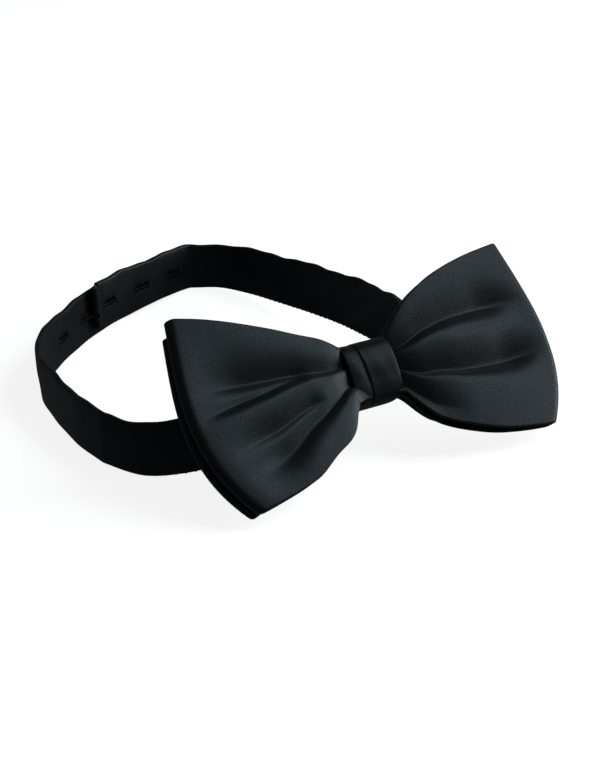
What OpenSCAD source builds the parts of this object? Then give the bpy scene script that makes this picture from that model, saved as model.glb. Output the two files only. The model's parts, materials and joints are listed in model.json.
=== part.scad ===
// Ready-made satin bow tie on an adjustable, hooked neckband, resting on a table.
// Millimetres, +Z up. The table is z = 0 and the origin is the middle of the tie's footprint.
// The bow faces -Y and leans back; the neckband loops behind it and stands on its lower edge.

/* [Bow] */
// Width across both wings at their middle
bow_w = 125; // [115:1:130]
// Height of a wing at its outer fold
bow_h = 60; // [54:1:64]
// Angle by which the bow leans back from upright
bow_lean = 43; // [40:1:45]
// Depth of the pleats next to the knot
pleat_depth = 1.2; // [0.5:0.1:1.8]
// Thickness of the satin in a wing
satin_t = 0.7; // [0.5:0.1:0.8]
// Thickness of the stiffener inside a wing
stiffener_t = 0.4; // [0.3:0.1:0.5]

/* [Knot] */
// Width of the wrap round the waist
knot_w = 16.5; // [15:0.5:17]
// Height of the wrap
knot_h = 19.4; // [19.2:0.2:20]
// Thickness of the folded wrap
wrap_t = 1.1; // [0.8:0.1:1.2]

/* [Neckband] */
// Width of the neckband
band_w = 16.5; // [15:0.5:16.5]
// Thickness of the finished neckband
band_t = 1.8; // [1.6:0.1:2]
// Length of an adjusting slit, inside its stitching
slit_len = 7; // [6:0.5:8]
// Height of an open slit
slit_gap = 1.1; // [1:0.1:1.3]

/* [Hook] */
// Diameter of the hook's wire
wire_d = 1.4; // [1.2:0.1:1.5]
// Length of the T bar that holds in a slit
t_bar_len = 6.5; // [6:0.5:6.5]

/* [Hidden] */

black_satin = "#0c1013";
felt_white = "#d8d6cf";
black_thread = "#1b1e22";
nickel = "#b9bcc0";

// Where the bow's own frame stands on the table: x across, y into depth, z up the wing.
rest_shift = [4.6, -82.8, 0];
bow_lift = 5.2;
waist_z = bow_h / 2 + 1.9;

// Outline of a wing. a runs from 0 at the knot to 1 at the outer fold, v from -1 to 1 upwards.
fan_x = 10;
stem_x = 8.7;
waist_half_h = 8;
fold_sag = 7.2;
fold_skew = 2.9;
front_r = 2.2;
back_r = 1.4;
back_loop_depth = 5;
waist_depth = 4.3;
back_drop_top = 3.2;
back_drop_bottom = 1;
back_tuck = 2.6;

function reach(v) = bow_w / 2 - fold_sag * v * v + fold_skew * v * v * v;
function fan_edge(in, slope, curl) = 1 - slope * in - (1 - slope) * pow(in, curl);
function fan(a, v) =
    a <= 0 ? 0 : v > 0 ? fan_edge(1 - min(a, 1), 0.6, 8) : fan_edge(1 - min(a, 1), 0.47, 6);
function half_height(a, v) =
    waist_half_h + (bow_h / 2 - waist_half_h) * fan(a, v) - (waist_z - bow_h / 2) * sign(v) * fan(a, v);
function swell(a) = a <= 0 ? 0 : sin(180 * pow(min(a, 1), 0.55));
function pleat(a, v) = a >= 1 ? 0 : pleat_depth * (a <= 0 ? 0.15 : 1 - a) * cos(540 * v);

// Depth of a face that starts deep at the waist and comes forward to its place at the fold.
function come_forward(waist, edge, a) = edge + (waist - edge) * pow(1 - max(0, min(a, 1)), 1.8);

// Depth of the two faces of the front loop and of the back loop of a wing.
function front_loop_face(a, v) =
    come_forward(waist_depth - 3.2 + 0.8 * pow(v, 4), -front_r, a) - 2 * swell(a) - pleat(a, v);
function front_loop_rear(a) = come_forward(waist_depth + 0.4, front_r, a);
function back_loop_face(a) = come_forward(waist_depth + 0.6, back_loop_depth - back_r, a);
function back_loop_rear(a) = come_forward(waist_depth + 3, back_loop_depth + back_r, a);

// The path of a loop: out along the face, round the outer fold and back along the rear.
panel_steps = 8;
fold_steps = 4;
face_path = [for (i = [0 : panel_steps]) i == 0 ? (stem_x - fan_x) / 50 : (i - 1) / (panel_steps - 1)];
row_v = [for (i = [-7 : 7]) i == 7 ? 1 : i == -7 ? -1 : i * 0.15];
core_row_v = [for (i = [-6 : 6]) i * 0.15];

function wing_x(a, v, r) = fan_x + (reach(v) - r - fan_x) * a;
function wing_z(a, v, drop) =
    waist_z + v * half_height(a, v)
    + (a <= 0 ? 0 : v > 0 ? -a * drop[0] * v : a * drop[1] * v - 4 * a * (1 - a) * drop[2] * v);

// One ring of points across a loop at height v, set in from the satin's outside by inset.
function loop_ring(v, inset, front) =
    let (r = front ? front_r : back_r,
         mid = front ? 0 : back_loop_depth,
         drop = front ? [0, 0, 0] : [back_drop_top, back_drop_bottom, back_tuck])
    concat(
        [for (a = face_path)
            [wing_x(a, v, r), (front ? front_loop_face(a, v) : back_loop_face(a)) + inset,
             wing_z(a, v, drop)]],
        [for (k = [1 : fold_steps - 1])
            let (turn = -90 + 180 * k / fold_steps)
            [wing_x(1, v, r) + (r - inset) * cos(turn), mid + (r - inset) * sin(turn),
             wing_z(1, v, drop)]],
        [for (i = [panel_steps : -1 : 0])
            let (a = face_path[i])
            [wing_x(a, v, r), (front ? front_loop_rear(a) : back_loop_rear(a)) - inset,
             wing_z(a, v, drop)]]
    );

// A closed sheet that follows a loop, between two insets.
module loop_sheet(outer, inner, front, rows = row_v) {
    outside = [for (v = rows) loop_ring(v, outer, front)];
    inside = [for (v = rows) loop_ring(v, inner, front)];
    m = len(outside[0]);
    n = len(rows);
    k = m * n;
    points = concat([for (ring = outside) each ring], [for (ring = inside) each ring]);
    faces = concat(
        [for (i = [0 : n - 2], j = [0 : m - 2])
            each [[i * m + j, (i + 1) * m + j, (i + 1) * m + j + 1],
                  [i * m + j, (i + 1) * m + j + 1, i * m + j + 1]]],
        [for (i = [0 : n - 2], j = [0 : m - 2])
            each [[k + i * m + j, k + (i + 1) * m + j + 1, k + (i + 1) * m + j],
                  [k + i * m + j, k + i * m + j + 1, k + (i + 1) * m + j + 1]]],
        [for (j = [0 : m - 2])
            each [[j, j + 1, k + j + 1], [j, k + j + 1, k + j]]],
        [for (j = [0 : m - 2])
            let (e = (n - 1) * m + j)
            each [[e, k + e + 1, e + 1], [e, k + e, k + e + 1]]],
        [for (i = [0 : n - 2])
            let (p = i * m, q = (i + 1) * m)
            each [[p, k + p, k + q], [p, k + q, q]]],
        [for (i = [0 : n - 2])
            let (p = i * m + m - 1, q = (i + 1) * m + m - 1)
            each [[p, k + q, k + p], [p, q, k + q]]]
    );
    polyhedron(points, faces, convexity = 6);
}

module in_bow_frame() {
    translate(rest_shift + [0, 0, bow_lift]) rotate([-bow_lean, 0, 0]) children();
}

module left_side() {
    in_bow_frame() mirror([1, 0, 0]) children();
}

module right_side() {
    in_bow_frame() children();
}

// ---- wings ----

stiffener_gap = 0.15;

module front_loop() {
    color(black_satin) loop_sheet(0, satin_t, true);
}

module back_loop() {
    color(black_satin) loop_sheet(0, min(satin_t, 0.6), false);
}

module front_stiffener() {
    color(felt_white)
        loop_sheet(satin_t + stiffener_gap, satin_t + stiffener_gap + stiffener_t, true, core_row_v);
}

module back_stiffener() {
    color(felt_white) loop_sheet(0.75, 1.1, false, core_row_v);
}

module left_wing_front() { left_side() front_loop(); }
module right_wing_front() { right_side() front_loop(); }
module left_wing_back() { left_side() back_loop(); }
module right_wing_back() { right_side() back_loop(); }
module left_front_stiffener() { left_side() front_stiffener(); }
module right_front_stiffener() { right_side() front_stiffener(); }
module left_back_stiffener() { left_side() back_stiffener(); }
module right_back_stiffener() { right_side() back_stiffener(); }

// ---- knot ----

knot_front = -4.6;
knot_back = 6.3;
strap_depth = 4.1;
knot_front_corner = 4;
knot_back_corner = 1.8;
waist_half_w = 7.8;

// Rounded oblong in depth (x) and height (y), later stood across the bow.
module oblong(front, back, height, front_r, back_r) {
    hull()
        for (y = [-1, 1]) {
            translate([front + front_r, y * (height / 2 - front_r)]) circle(front_r, $fn = 48);
            translate([back - back_r, y * (height / 2 - back_r)]) circle(back_r, $fn = 48);
        }
}

// Stands a depth-and-height outline up across the bow, centred on the waist.
module across_bow(width) {
    translate([-width / 2, waist_depth, waist_z])
        rotate([90, 0, 90]) linear_extrude(width) children();
}

waist_front = -2.8;
waist_back = 2.4;

module gathered_waist() {
    color(black_satin) in_bow_frame() across_bow(2 * waist_half_w)
        oblong(waist_front, waist_back, 2 * waist_half_h - 1.6, 2.2, 0.8);
}

thread_d = 0.6;
thread_turns = 3;

// Turns of thread pulled tight round the waist, side by side.
module gathering_thread() {
    color(black_thread) in_bow_frame()
        for (i = [0 : thread_turns - 1])
            translate([(i - (thread_turns - 1) / 2) * (thread_d + 0.2), 0, 0])
                across_bow(thread_d)
                    difference() {
                        oblong(waist_front - thread_d, waist_back + thread_d,
                               2 * (waist_half_h - 0.8 + thread_d), 2.8, 1.4);
                        oblong(waist_front, waist_back, 2 * waist_half_h - 1.6, 2.2, 0.8);
                    }
}

// The wrap's ends meet down the middle of its back, in a shallow seam.
seam_depth = 0.35;
seam_size = [0.9, 13];

module knot_wrap() {
    color(black_satin) in_bow_frame() difference() {
        across_bow(knot_w) difference() {
            oblong(knot_front, knot_back, knot_h, knot_front_corner, knot_back_corner);
            oblong(knot_front + wrap_t, knot_back - wrap_t, knot_h - 2 * wrap_t,
                   knot_front_corner - wrap_t, knot_back_corner - wrap_t);
        }
        translate([0, waist_depth + knot_back - seam_depth, waist_z])
            rotate([-90, 0, 0]) linear_extrude(1) square(seam_size, center = true);
    }
}

// Slip stitches that close the wrap, sunk in its seam.
closing_stitch = [0.5, 2.2];

module knot_closing_stitches() {
    color(black_thread) in_bow_frame()
        for (i = [-2 : 2])
            translate([0, waist_depth + knot_back - seam_depth, waist_z + i * 2.6])
                rotate([-90, 0, 0]) linear_extrude(seam_depth - 0.05)
                    square(closing_stitch, center = true);
}

// ---- neckband ----

// Lower edge of the neckband: x, y, height above the table, and the outward lean of its face.
// Both straps start inside the knot. Each strap is parted where its free end swings.
left_route = [
    [-1, 22.3, 16.8, -43], [-9, 22.3, 16.8, -43], [-20, 24, 14, -40], [-32, 28, 9, -32],
    [-44, 33, 4.5, -20], [-54, 38.5, 1.5, -10], [-64, 46, 0.3, -3], [-69, 58, 0.1, 0]
];
slotted_route = [
    [-69.8, 61, 0.1, 0], [-70.8, 75, 0.1, 0], [-69, 94, 0.1, 2], [-65.5, 111, 0.1, 5],
    [-55.5, 126, 0.1, 6], [-39, 141, 0.1, 4], [-25, 150.5, 0.1, 3], [-11, 157.5, 0.1, 3],
    [5, 164.5, 0.1, 3]
];
right_route = [
    [1, 22.3, 16.8, -43], [9, 22.3, 16.8, -43], [17, 24, 16, -42], [24, 30, 15, -34],
    [28.5, 40, 13.8, -18], [30.7, 52, 13.2, 4], [31.8, 64, 13, 22], [32.6, 76, 12, 30],
    [34.2, 90, 10, 30], [34.7, 108, 7.4, 26], [34.5, 130, 4, 18], [33, 149, 1.5, 9],
    [28, 161, 0.8, 4], [20, 165.6, 0.9, 3]
];
hook_route = [
    [17.2, 166.1, 1, 3], [7, 162.8, 1.4, 3], [-3, 158.4, 1.8, 3], [-15, 153.2, 2.3, 3],
    [-28.8, 145.4, 3, 3]
];
ring_step = 4;

function catmull(p0, p1, p2, p3, t) =
    0.5 * (2 * p1 + (p2 - p0) * t + (2 * p0 - 5 * p1 + 4 * p2 - p3) * t * t
           + (3 * p1 - p0 - 3 * p2 + p3) * t * t * t);
function route_at(route, s) =
    let (n = len(route), i = min(floor(s), n - 2), t = s - i)
    catmull(route[max(i - 1, 0)], route[i], route[i + 1], route[min(i + 2, n - 1)], t);
function route_heading(route, s) =
    let (a = route_at(route, max(s - 0.05, 0)), b = route_at(route, min(s + 0.05, len(route) - 1)))
    atan2(b[1] - a[1], b[0] - a[0]);

// Directions at a place on a route: side is 1 where the outside of the loop is on the right.
function outward(route, s, side) =
    let (h = route_heading(route, s)) [side * sin(h), -side * cos(h), 0];
function up_the_band(route, s, side) =
    let (lean = route_at(route, s)[3]) [0, 0, cos(lean)] + sin(lean) * outward(route, s, side);
function through_the_band(route, s, side) =
    let (lean = route_at(route, s)[3]) cos(lean) * outward(route, s, side) - [0, 0, sin(lean)];
function foot(route, s) = let (p = route_at(route, s)) [p[0], p[1], p[2]];

function band_ring(route, s, side, outline) =
    [for (q = outline)
        foot(route, s) + q[0] * through_the_band(route, s, side) + q[1] * up_the_band(route, s, side)];

// Sweeps a closed outline along a route; the outline runs anticlockwise on a right-hand route.
module band_sweep(route, side, outline) {
    count = ring_step * (len(route) - 1);
    m = len(outline);
    rings = [for (i = [0 : count]) band_ring(route, i / ring_step, side, outline)];
    walls = [for (i = [0 : count - 1], j = [0 : m - 1])
        let (a = i * m + j, b = i * m + (j + 1) % m, c = a + m, d = b + m)
        each outline[(j + 1) % m][1] < outline[j][1] ? [[a, c, b], [b, c, d]]
                                                     : [[a, c, d], [a, d, b]]];
    caps = [[for (j = [0 : m - 1]) j], [for (j = [m - 1 : -1 : 0]) count * m + j]];
    faces = concat(walls, caps);
    polyhedron([for (ring = rings) each ring],
               side < 0 ? faces : [for (f = faces) [for (i = [len(f) - 1 : -1 : 0]) f[i]]],
               convexity = 8);
}

half_t = band_t / 2;
ply_t = 0.45;
seam_gap = 0.1;

// The satin tube, flattened round its stiffener, with its seam along the lower edge.
tube_outline = [
    [seam_gap, 0], [half_t - 0.3, 0], [half_t, 0.4], [half_t, band_w - 0.4],
    [half_t - 0.3, band_w], [-half_t + 0.3, band_w], [-half_t, band_w - 0.4], [-half_t, 0.4],
    [-half_t + 0.3, 0], [-seam_gap, 0], [-seam_gap, ply_t], [-half_t + ply_t, ply_t],
    [-half_t + ply_t, band_w - ply_t], [half_t - ply_t, band_w - ply_t], [half_t - ply_t, ply_t],
    [seam_gap, ply_t]
];
core_outline = [
    [half_t - ply_t - 0.1, ply_t + 0.15], [half_t - ply_t - 0.1, band_w - ply_t - 0.15],
    [-half_t + ply_t + 0.1, band_w - ply_t - 0.15], [-half_t + ply_t + 0.1, ply_t + 0.15]
];
// Puts its children on the band: x along it, y through it and z up it.
module on_band(route, s, side, up = 0) {
    p = foot(route, s) + up * up_the_band(route, s, side);
    translate(rest_shift + p)
        rotate([0, 0, route_heading(route, s)])
            rotate([side * route_at(route, s)[3], 0, 0])
                children();
}

slit_room = 0.9;

// A hole through the band that takes a slit and its stitching.
module slit_cut(length) {
    cube([length, 3 * band_t, slit_gap + slit_room], center = true);
}

// Close stitching that lines a slit and stands a little proud on both faces.
module slit_lining(length) {
    rotate([90, 0, 0]) linear_extrude(band_t + 0.3, center = true)
        difference() {
            square([length + slit_room - 0.1, slit_gap + slit_room - 0.1], center = true);
            square([length, slit_gap], center = true);
        }
}

slotted_slits = [4.49, 5.34, 6.68];
hook_slits = [0.71, 2.28, 3.52];

// A strap's satin, with its slits, and the stiffener that it is folded round.
module strap_satin(route, side, slits = []) {
    color(black_satin) difference() {
        translate(rest_shift) band_sweep(route, side, tube_outline);
        for (s = slits) on_band(route, s, side, band_w / 2) slit_cut(slit_len + slit_room);
    }
}

module strap_core(route, side, slits = []) {
    color(felt_white) difference() {
        translate(rest_shift) band_sweep(route, side, core_outline);
        for (s = slits) on_band(route, s, side, band_w / 2) slit_cut(slit_len + slit_room);
    }
}

module slit_stitching(route, side, slits) {
    color(black_thread)
        for (s = slits) on_band(route, s, side, band_w / 2) slit_lining(slit_len);
}

module left_strap() { strap_satin(left_route, -1); }
module left_strap_stiffener() { strap_core(left_route, -1); }
module right_strap() { strap_satin(right_route, 1); }
module right_strap_stiffener() { strap_core(right_route, 1); }
module slotted_strap_end() { strap_satin(slotted_route, -1, slotted_slits); }
module slotted_end_stiffener() { strap_core(slotted_route, -1, slotted_slits); }
module slotted_end_slit_stitching() { slit_stitching(slotted_route, -1, slotted_slits); }
module hook_strap_end() { strap_satin(hook_route, 1, hook_slits); }
module hook_end_stiffener() { strap_core(hook_route, 1, hook_slits); }
module hook_end_slit_stitching() { slit_stitching(hook_route, 1, hook_slits); }

// Rows of stitches behind the knot that hold the two strap roots to the waist.
module strap_anchor_stitches() {
    color(black_thread) in_bow_frame()
        for (x = [-3.6, 3.6], z = [-5 : 2.5 : 5])
            translate([x, waist_depth + strap_depth + half_t, waist_z + z])
                rotate([-90, 0, 0]) linear_extrude(0.15)
                    square([2, 0.5], center = true);
}

// ---- hook ----

hook_end = len(hook_route) - 1;
loop_r = 1.5;
loop_inset = 0.5;
loop_h = band_w - 2;
hook_drop = 2.9;
shank_h = 0.7;
shank_w = 1;
shank_angle = 32;
shank_len = 9.4;

// The hook's frame: its origin is the pivot in the end of the strap, x along the strap's end.
module at_hook() {
    on_band(hook_route, hook_end, 1, band_w / 2)
        translate([loop_r + 0.05, loop_inset, 0]) children();
}

// The strap's end, rolled round the hook's foot and left open where the shank comes out.
module hook_loop() {
    color(black_satin) at_hook() difference() {
        cylinder(h = loop_h, r = loop_r, center = true, $fn = 48);
        cylinder(h = loop_h + 2, d = wire_d + 0.16, center = true, $fn = 48);
        translate([loop_r, 0, -hook_drop])
            cube([2 * loop_r, 4 * loop_r, shank_h + 1], center = true);
        translate([0, -loop_r, -hook_drop])
            cube([2 * loop_r, 2 * loop_r, shank_h + 1], center = true);
    }
}

module hook_loop_stitches() {
    color(black_thread) on_band(hook_route, hook_end, 1, band_w / 2)
        for (face = [-1, 1], z = [-6 : 2 : 6])
            translate([-1.2, face * (half_t + 0.15), z])
                cube([0.5, 0.26, 1.3], center = true);
}

// The foot in the loop, a flat shank through the slit and the T bar outside it.
module t_hook() {
    color(nickel) at_hook() {
        cylinder(h = loop_h - 0.6, d = wire_d, center = true, $fn = 32);
        translate([0, 0, -hook_drop]) rotate([0, 0, -shank_angle]) {
            translate([shank_len / 2, 0, 0]) cube([shank_len, shank_w, shank_h], center = true);
            translate([shank_len, 0, 0])
                cylinder(h = t_bar_len, d = wire_d, center = true, $fn = 32);
        }
    }
}

left_wing_front();
right_wing_front();
left_wing_back();
right_wing_back();
left_front_stiffener();
right_front_stiffener();
left_back_stiffener();
right_back_stiffener();
gathered_waist();
gathering_thread();
knot_wrap();
knot_closing_stitches();
left_strap();
left_strap_stiffener();
right_strap();
right_strap_stiffener();
strap_anchor_stitches();
slotted_strap_end();
slotted_end_stiffener();
slotted_end_slit_stitching();
hook_strap_end();
hook_end_stiffener();
hook_end_slit_stitching();
hook_loop();
hook_loop_stitches();
t_hook();
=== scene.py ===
"""A ready-tied satin bow tie on its hooked neckband: cloth, stitching, hook and studio."""

import json
import math

import bmesh
import bpy
import numpy as np
from bpy.props import FloatProperty, FloatVectorProperty, PointerProperty
from mathutils import Matrix, Vector


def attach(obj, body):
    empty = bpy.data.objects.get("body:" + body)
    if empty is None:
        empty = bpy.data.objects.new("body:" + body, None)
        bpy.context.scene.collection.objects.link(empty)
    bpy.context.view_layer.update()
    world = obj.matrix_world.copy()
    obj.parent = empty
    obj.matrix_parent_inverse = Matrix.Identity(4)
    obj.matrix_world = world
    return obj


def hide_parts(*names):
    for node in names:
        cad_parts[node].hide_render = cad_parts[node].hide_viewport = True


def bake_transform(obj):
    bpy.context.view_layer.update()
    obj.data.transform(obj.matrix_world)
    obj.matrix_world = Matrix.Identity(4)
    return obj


bl_info = {
    "name": "Satin Bow Tie",
    "version": (1, 0, 0),
    "blender": (4, 5, 0),
    "location": "3D View > Sidebar > Bow Tie",
    "description": "Dresses a jointed bow tie in pleated satin, stitching and a plated hook",
    "category": "Object",
}

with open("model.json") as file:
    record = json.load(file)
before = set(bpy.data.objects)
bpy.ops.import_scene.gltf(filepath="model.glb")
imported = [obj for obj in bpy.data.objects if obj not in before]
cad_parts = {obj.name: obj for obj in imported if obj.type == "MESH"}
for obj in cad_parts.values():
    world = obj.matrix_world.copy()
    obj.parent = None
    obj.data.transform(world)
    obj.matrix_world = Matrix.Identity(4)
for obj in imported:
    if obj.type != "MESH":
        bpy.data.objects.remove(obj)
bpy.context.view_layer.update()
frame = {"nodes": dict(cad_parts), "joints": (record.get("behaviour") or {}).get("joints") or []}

MM = 0.001
JOINTS = {j["name"]: j for j in frame["joints"]}


# ---- where the bow and the straps are ----

LEFT_HINGE = np.array(JOINTS["left_wing_flex"]["pos_m"])
RIGHT_HINGE = np.array(JOINTS["right_wing_flex"]["pos_m"])
WAIST = (LEFT_HINGE + RIGHT_HINGE) / 2
ACROSS = np.array((1.0, 0.0, 0.0))
BOW_UP = np.array(JOINTS["left_wing_flex"]["axis"])
BOW_BACK = np.cross(BOW_UP, ACROSS)

# The strap routes count from this corner on the table; the slotted end's hinge is 69.4 mm left
# and 59.5 mm back of it.
SLOTTED_HINGE = np.array(JOINTS["slotted_end_open"]["pos_m"])
ROUTE_CORNER = SLOTTED_HINGE * (1, 1, 0) - np.array((-69.4, 59.5, 0)) * MM


def on_bow(x, depth, height):
    """A point in millimetres across, behind and above the middle of the waist."""
    x, depth, height = (np.asarray(q, float)[..., None] * MM for q in (x, depth, height))
    return WAIST + x * ACROSS + depth * BOW_BACK + height * BOW_UP


# ---- sizes and colours that a user would change ----

def length_of(name, description, usual, least, most):
    """A length's property, given in millimetres."""
    return FloatProperty(name=name, description=description, default=usual * MM,
                         min=least * MM, max=most * MM, unit="LENGTH")


def colour_of(name, description, usual):
    return FloatVectorProperty(name=name, description=description, subtype="COLOR",
                               default=usual, min=0, max=1)


class BowSizes(bpy.types.PropertyGroup):
    """The bow's cloth."""

    cloth: length_of("Cloth", "Thickness of the doubled satin of a wing", 1.15, 0.8, 1.4)
    pleat_gain: FloatProperty(
        name="Pleat depth", description="Depth of every pleat against its usual depth",
        default=1.0, min=0.2, max=1.5, subtype="FACTOR")
    interlining: length_of(
        "Interlining", "Thickness of the stiffening felt inside a wing", 0.35, 0.2, 0.6)


class BandSizes(bpy.types.PropertyGroup):
    """The neckband."""

    width: length_of("Width", "Width of the neckband", 16.5, 14, 17)
    thickness: length_of("Thickness", "Thickness of the finished neckband", 1.75, 1.4, 2)
    slit_length: length_of("Slit length", "Length of an adjusting slit", 7, 6, 8)
    slit_gap: length_of("Slit gap", "How far a slit stands open", 1.1, 0.9, 1.3)


class StitchSizes(bpy.types.PropertyGroup):
    """Sewing thread and how closely it is worked."""

    thread: length_of("Thread", "Diameter of the sewing thread", 0.32, 0.15, 0.5)
    slit_spacing: length_of(
        "Slit stitch spacing", "Distance between the stitches round a slit", 0.42, 0.3, 0.8)
    seam_spacing: length_of(
        "Seam stitch spacing", "Distance between slip stitches along a seam", 3.0, 2, 5)


class FinishColours(bpy.types.PropertyGroup):
    """Colours of the materials."""

    satin: colour_of("Satin", "Body colour of the satin", (0.0066, 0.0088, 0.0104))
    thread: colour_of("Thread", "Colour of the sewing thread", (0.008, 0.009, 0.011))
    interlining: colour_of("Interlining", "Colour of the felt inside", (0.62, 0.60, 0.55))
    plating: colour_of("Plating", "Colour of the hook's plating", (0.62, 0.61, 0.59))


class StageSettings(bpy.types.PropertyGroup):
    """Floor, light and camera."""

    floor_size: FloatProperty(
        name="Floor size", description="Side of the square floor",
        default=6.0, min=1, max=20, unit="LENGTH")
    key_energy: FloatProperty(
        name="Key light", description="Power of the large light ahead and to the right, in watts",
        default=3.0, min=0, max=200)
    fill_energy: FloatProperty(
        name="Side light", description="Power of the low light beside the neckband, in watts",
        default=4.8, min=0, max=200)
    lens: FloatProperty(
        name="Lens", description="Focal length on a 36 mm frame, in millimetres",
        default=81.23, min=35, max=200)


# ---- small helpers ----

def smoothstep(t):
    t = np.clip(t, 0, 1)
    return t * t * (3 - 2 * t)


def curve_through(points, t):
    """A smooth curve through (place, value...) points, read at t; it never runs past them."""
    table = np.asarray(points, float)
    x, y = table[:, 0], table[:, 1:]
    step = np.diff(x)[:, None]
    slope = np.diff(y, axis=0) / step
    tangent = np.zeros_like(y)
    tangent[1:-1] = np.where(
        slope[:-1] * slope[1:] > 0,
        2 * slope[:-1] * slope[1:] / (slope[:-1] + slope[1:] + 1e-12 * np.sign(slope[1:])), 0)
    tangent[0], tangent[-1] = slope[0], slope[-1]
    t = np.clip(np.asarray(t, float), x[0], x[-1])
    i = np.clip(np.searchsorted(x, t) - 1, 0, len(x) - 2)
    u = ((t - x[i]) / (x[i + 1] - x[i]))[..., None]
    h = (x[i + 1] - x[i])[..., None]
    value = ((1 + 2 * u) * (1 - u) ** 2 * y[i] + u * (1 - u) ** 2 * h * tangent[i]
             + u * u * (3 - 2 * u) * y[i + 1] + u * u * (u - 1) * h * tangent[i + 1])
    return value[..., 0] if value.shape[-1] == 1 else value


def spline_blend(p0, p1, p2, p3, t):
    """A place between p1 and p2 on the smooth curve through all four."""
    return 0.5 * (2 * p1 + (p2 - p0) * t + (2 * p0 - 5 * p1 + 4 * p2 - p3) * t ** 2
                  + (3 * p1 - p0 - 3 * p2 + p3) * t ** 3)


def mesh_object(name, points, faces, uvs=None):
    """A new mesh object at the origin; uvs are one pair for each point, in metres of cloth."""
    mesh = bpy.data.meshes.new(name)
    mesh.from_pydata([tuple(p) for p in points], [], [tuple(int(i) for i in f) for f in faces])
    if uvs is not None:
        layer = mesh.uv_layers.new(name="cloth")
        index = np.zeros(len(mesh.loops), int)
        mesh.loops.foreach_get("vertex_index", index)
        layer.data.foreach_set("uv", np.asarray(uvs, np.float32)[index].ravel())
    mesh.validate()
    mesh.polygons.foreach_set("use_smooth", [True] * len(mesh.polygons))
    obj = bpy.data.objects.new(name, mesh)
    bpy.context.scene.collection.objects.link(obj)
    return obj


def bake_modifiers(obj):
    """Turns the evaluated object into its plain mesh."""
    graph = bpy.context.evaluated_depsgraph_get()
    graph.update()
    made = bpy.data.meshes.new_from_object(obj.evaluated_get(graph), depsgraph=graph)
    obj.modifiers.clear()
    old, obj.data = obj.data, made
    made.name = obj.name
    bpy.data.meshes.remove(old)
    return obj


def round_off(obj):
    """One level of subdivision, then everything on the piece becomes its plain mesh."""
    smooth = obj.modifiers.new("round_off", "SUBSURF")
    smooth.levels = smooth.render_levels = 1
    return bake_modifiers(obj)


def give_thickness(obj, thickness):
    """Makes a single skin a closed cloth, thickened inwards, with round edges."""
    wall = obj.modifiers.new("wall", "SOLIDIFY")
    wall.thickness = thickness
    wall.offset = -1
    wall.use_even_offset = False
    return round_off(obj)


def grid_faces(rows, columns, closed=False, keep=None):
    """Quads of a grid of rows by columns of points; keep(i, j) says which cells stay."""
    span = columns if closed else columns - 1
    return [
        (i * columns + j, i * columns + (j + 1) % columns,
         (i + 1) * columns + (j + 1) % columns, (i + 1) * columns + j)
        for i in range(rows - 1) for j in range(span) if keep is None or keep(i, j)
    ]


# ---- materials ----

def new_material(name, **settings):
    """A material, its tree, shader and coordinates; settings name sockets with _ for a space."""
    material = bpy.data.materials.new(name)
    material.use_nodes = True
    tree = material.node_tree
    shader = tree.nodes["Principled BSDF"]
    for field, value in settings.items():
        shader.inputs[field.replace("_", " ")].default_value = value
    return material, tree, shader, tree.nodes.new("ShaderNodeTexCoord")


def link(tree, source, output, target, field):
    tree.links.new(source.outputs[output], target.inputs[field])


def noise(tree, coordinates, output, scale, detail=2.0, stretch=None):
    """A noise texture on the given coordinates, stretched along one axis if asked."""
    node = tree.nodes.new("ShaderNodeTexNoise")
    node.inputs["Scale"].default_value = scale
    node.inputs["Detail"].default_value = detail
    if stretch:
        mapping = tree.nodes.new("ShaderNodeMapping")
        mapping.inputs["Scale"].default_value = stretch
        link(tree, coordinates, output, mapping, "Vector")
        coordinates, output = mapping, "Vector"
    link(tree, coordinates, output, node, "Vector")
    return node


def tone(tree, source, shader, dark, light):
    """Runs the base colour from dark to light with the source."""
    mix = tree.nodes.new("ShaderNodeMix")
    mix.data_type = "RGBA"
    mix.inputs["A"].default_value = (*dark, 1)
    mix.inputs["B"].default_value = (*light, 1)
    link(tree, source, "Fac", mix, "Factor")
    link(tree, mix, "Result", shader, "Base Color")


def bump(tree, source, shader, strength, distance, under=None):
    """Raises the surface with the source, on top of another bump if one is given."""
    node = tree.nodes.new("ShaderNodeBump")
    node.inputs["Strength"].default_value = strength
    node.inputs["Distance"].default_value = distance
    link(tree, source, "Fac", node, "Height")
    if under:
        link(tree, under, "Normal", node, "Normal")
    link(tree, node, "Normal", shader, "Normal")
    return node


def scaled(colour, share):
    return [min(1, c * share) for c in colour]


SATIN_TINT = (0.70, 0.90, 1.0, 1)


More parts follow.
